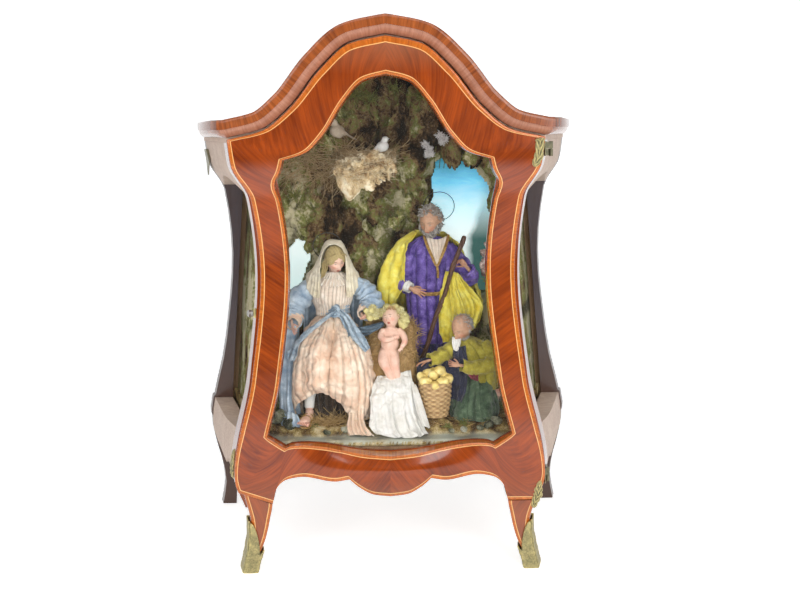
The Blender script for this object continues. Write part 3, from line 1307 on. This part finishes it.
def makeJoseph():
    x, d = JOSEPH_X, JOSEPH_DEPTH
    foot = TERRACE_TOP + SEAT
    build("joseph_robe", "purple_cloth", [
        upright("joseph_robe", [
            (foot, x, d + 0.004, 0.036, 0.026), (0.300, x, d + 0.004, 0.033, 0.024),
            (0.360, x, d + 0.002, 0.035, 0.024), (0.420, x - 0.002, d, 0.038, 0.024),
            (0.465, x, d - 0.001, 0.042, 0.023), (0.492, x, d, 0.042, 0.020),
            (0.508, x + 0.001, d, 0.022, 0.015), (0.514, x + 0.001, d, 0.011, 0.010),
        ]),
        limb("sleeve_left", [(x - 0.034, d - 0.002, 0.484, 0.015), (x - 0.043, d - 0.010, 0.450, 0.016),
                             (x - 0.042, d - 0.022, 0.428, 0.015), (x - 0.030, d - 0.032, 0.420, 0.012)]),
        limb("sleeve_right", [(x + 0.036, d - 0.002, 0.484, 0.015), (x + 0.060, d - 0.008, 0.450, 0.016),
                              (x + 0.068, d - 0.016, 0.442, 0.016), (x + 0.062, d - 0.028, 0.456, 0.012)]),
    ])
    build("joseph_head", "skin", [
        ball("joseph_head", at(x + 0.003, d - 0.008, 0.548), (0.0195, 0.022, 0.0265), 14, -6),
        limb("neck", [(x + 0.001, d, 0.519, 0.0095), (x + 0.002, d - 0.002, 0.534, 0.010)]),
        ball("beard", at(x, d - 0.023, 0.524), (0.011, 0.010, 0.015), 10),
    ], ["joseph_robe"])
    high, low = at(x + 0.058, d - 0.038, 0.531), at(x - 0.034, d - 0.036, foot + 0.0010)
    build("joseph_staff", "walnut", [cylinder("joseph_staff", low, high, 0.0030, 10, 0.0036)], ["joseph_robe"])
    build("joseph_cloak", "yellow_silk", [
        upright("joseph_cloak", [
            (0.360, x + 0.004, d + 0.026, 0.046, 0.016), (0.430, x + 0.002, d + 0.026, 0.054, 0.018),
            (0.480, x, d + 0.020, 0.054, 0.022), (0.505, x, d + 0.014, 0.040, 0.018),
            (0.513, x, d + 0.012, 0.022, 0.014),
        ]),
        limb("fold_left", [(x - 0.040, d + 0.006, 0.490, 0.020), (x - 0.060, d + 0.002, 0.455, 0.023),
                           (x - 0.066, d - 0.002, 0.425, 0.020), (x - 0.060, d - 0.004, 0.400, 0.010)]),
        limb("fold_right", [(x + 0.040, d + 0.018, 0.450, 0.014), (x + 0.060, d + 0.004, 0.415, 0.020),
                            (x + 0.072, d - 0.004, 0.395, 0.019), (x + 0.048, d - 0.006, 0.360, 0.017),
                            (x + 0.030, d - 0.008, 0.338, 0.010)]),
    ], ["joseph_robe", "joseph_head", "joseph_staff", "rock_cave"])
    build("joseph_hand_left", "skin", [
        limb("hand", [(x - 0.030, d - 0.034, 0.420, 0.008), (x - 0.016, d - 0.038, 0.417, 0.008),
                      (x - 0.004, d - 0.038, 0.412, 0.005)]),
    ], ["joseph_robe", "joseph_staff", "joseph_cloak"])
    build("joseph_hand_right", "skin", [
        limb("hand", [(x + 0.061, d - 0.030, 0.458, 0.008), (x + 0.052, d - 0.038, 0.470, 0.009),
                      (x + 0.036, d - 0.043, 0.478, 0.007)]),
    ], ["joseph_robe", "joseph_staff", "joseph_cloak"])
    halo("joseph_halo", "wire", at(x + 0.014, d + 0.020, 0.562), 0.026, at(x + 0.004, d + 0.008, 0.549),
         ["joseph_head", "joseph_cloak"])


def makeManger():
    x, d = CHILD_X, CHILD_DEPTH
    build("manger_cloth", "white_cloth", [
        upright("manger_cloth", [
            (GROUND_TOP + SEAT, x + 0.012, d - 0.052, 0.047, 0.017), (0.216, x + 0.011, d - 0.050, 0.045, 0.017),
            (0.240, x + 0.006, d - 0.040, 0.038, 0.014), (0.270, x + 0.002, d - 0.030, 0.034, 0.012),
            (0.294, x + 0.001, d - 0.022, 0.031, 0.011), (0.302, x + 0.001, d - 0.018, 0.026, 0.008),
        ]),
        limb("under", [(x, d - 0.016, 0.296, 0.011), (x, d - 0.002, 0.326, 0.011), (x, d + 0.014, 0.360, 0.012),
                       (x, d + 0.020, 0.385, 0.012)]),
        ball("pillow_left", at(x - 0.022, d + 0.012, 0.397), (0.015, 0.012, 0.015)),
        ball("pillow_right", at(x + 0.022, d + 0.012, 0.388), (0.013, 0.012, 0.018)),
        ball("pillow_middle", at(x, d + 0.019, 0.389), (0.024, 0.010, 0.018)),
    ], ["child", "ground_board", "mary_hand_right", "mary_mantle", "mary_dress"])
    build("manger_straw", "straw", [upright("manger_straw", [
        (TERRACE_TOP + SEAT, x + 0.004, d + 0.014, 0.040, 0.034), (0.260, x + 0.004, d + 0.014, 0.042, 0.034),
        (0.310, x + 0.004, d + 0.020, 0.042, 0.028), (0.350, x + 0.005, d + 0.028, 0.040, 0.020),
        (0.374, x + 0.005, d + 0.034, 0.037, 0.013),
    ])], ["child", "manger_cloth", "mary_dress", "mary_mantle", "joseph_staff", "joseph_robe"])


def makeBasket():
    foot = STONE_TOP + SEAT
    seatZ = BASKET_HEIGHT * 0.62
    wallAt = smoothThrough([(0.0, BASKET_FOOT), (BASKET_HEIGHT * 0.55, BASKET_RIM * 0.955), (BASKET_HEIGHT, BASKET_RIM)])
    outside = [(float(wallAt(z)), z) for z in np.linspace(1, 0, 6) * BASKET_HEIGHT]
    middle = Matrix.Translation(at(BASKET_X, BASKET_DEPTH, foot))
    build("basket", "wicker", [turned("basket", [
        (0, seatZ), (float(wallAt(seatZ)) - BASKET_WALL, seatZ), (BASKET_RIM - BASKET_WALL, BASKET_HEIGHT),
    ] + outside + [(0, 0)], middle)], ["manger_cloth"])
    inside = float(wallAt(seatZ)) - BASKET_WALL - SEAT
    rim = BASKET_RIM - BASKET_WALL - SEAT
    build("basket_loaves", "bread", [turned("basket_loaves", [
        (0, BASKET_HEIGHT + 0.020), (rim * 0.55, BASKET_HEIGHT + 0.018), (rim * 0.9, BASKET_HEIGHT + 0.009),
        (rim, BASKET_HEIGHT), (inside, seatZ + SEAT), (0, seatZ + SEAT),
    ], middle)])


def makeShepherd():
    x, d = SHEPHERD_X, SHEPHERD_DEPTH
    foot = TERRACE_TOP + SEAT
    build("shepherd_jacket", "olive_cloth", [
        upright("shepherd_jacket", [
            (0.246, x + 0.030, d + 0.014, 0.014, 0.018), (0.275, x + 0.031, d + 0.010, 0.023, 0.024),
            (0.310, x + 0.024, d + 0.006, 0.030, 0.025), (0.336, x + 0.012, d + 0.002, 0.034, 0.022),
            (0.350, x + 0.002, d, 0.024, 0.017), (0.356, x - 0.002, d - 0.002, 0.012, 0.012),
        ]),
        limb("sleeve_left", [(x - 0.018, d - 0.006, 0.336, 0.013), (x - 0.040, d - 0.018, 0.327, 0.012),
                             (x - 0.058, d - 0.026, 0.323, 0.0095)]),
        limb("sleeve_right", [(x + 0.040, d - 0.002, 0.334, 0.015), (x + 0.044, d - 0.018, 0.316, 0.014),
                              (x + 0.020, d - 0.030, 0.310, 0.011), (x - 0.008, d - 0.036, 0.316, 0.009)]),
    ], ["joseph_robe", "joseph_cloak", "basket", "basket_loaves"])
    build("shepherd_head", "skin", [
        ball("shepherd_head", at(x - 0.003, d - 0.014, 0.3745), (0.0185, 0.0205, 0.0215), 14, -14),
        limb("neck", [(x - 0.002, d - 0.004, 0.361, 0.009), (x - 0.003, d - 0.008, 0.370, 0.010)]),
    ], ["shepherd_jacket"])
    build("shepherd_breeches", "green_cloth", [upright("shepherd_breeches", [
        (foot, x + 0.016, d - 0.008, 0.036, 0.032), (0.236, x + 0.017, d - 0.008, 0.038, 0.034),
        (0.262, x + 0.018, d - 0.002, 0.034, 0.030), (0.290, x + 0.020, d + 0.006, 0.026, 0.024),
    ])], ["shepherd_jacket", "basket", "ground_board", "joseph_robe"])
    near = ["shepherd_jacket", "basket_loaves", "basket"]
    build("shepherd_hand_left", "skin", [
        limb("hand", [(x - 0.057, d - 0.026, 0.323, 0.0065), (x - 0.068, d - 0.030, 0.323, 0.0065),
                      (x - 0.079, d - 0.032, 0.319, 0.004)]),
    ], near)
    build("shepherd_hand_right", "skin", [
        limb("hand", [(x - 0.007, d - 0.036, 0.316, 0.0065), (x - 0.020, d - 0.039, 0.318, 0.0065),
                      (x - 0.031, d - 0.040, 0.320, 0.004)]),
    ], near)


clearObjects()
parts = newCollection("neapolitan_nativity")
cutters = newCollection("cutters")
doorAxis = axisEmpty("door_axis", (HINGE_X, worldY(HINGE_DEPTH), 0))
latchAxis = axisEmpty("latch_axis", (latchSeat(), worldY(LATCH_DEPTH), LATCH_Z))

makeDoor(doorAxis)
makeFrontPost(-1, "front_post_left", LATCH_JOINT_Z)
makeFrontPost(1, "front_post_right", HINGE_JOINT_Z)
makeRearPost(-1, "rear_post_left")
makeRearPost(1, "rear_post_right")
makeSides()
makeFloor()
makeRoof()
makeBack()
makeCornice()
makeSabots()
makeMounts(doorAxis)
makeHinges(doorAxis)
makeLatch(latchAxis, doorAxis)
makeGround()
makeRock()
makeSky()
makeNest()
makeChild()
makeMary()
makeJoseph()
makeManger()
makeBasket()
makeShepherd()
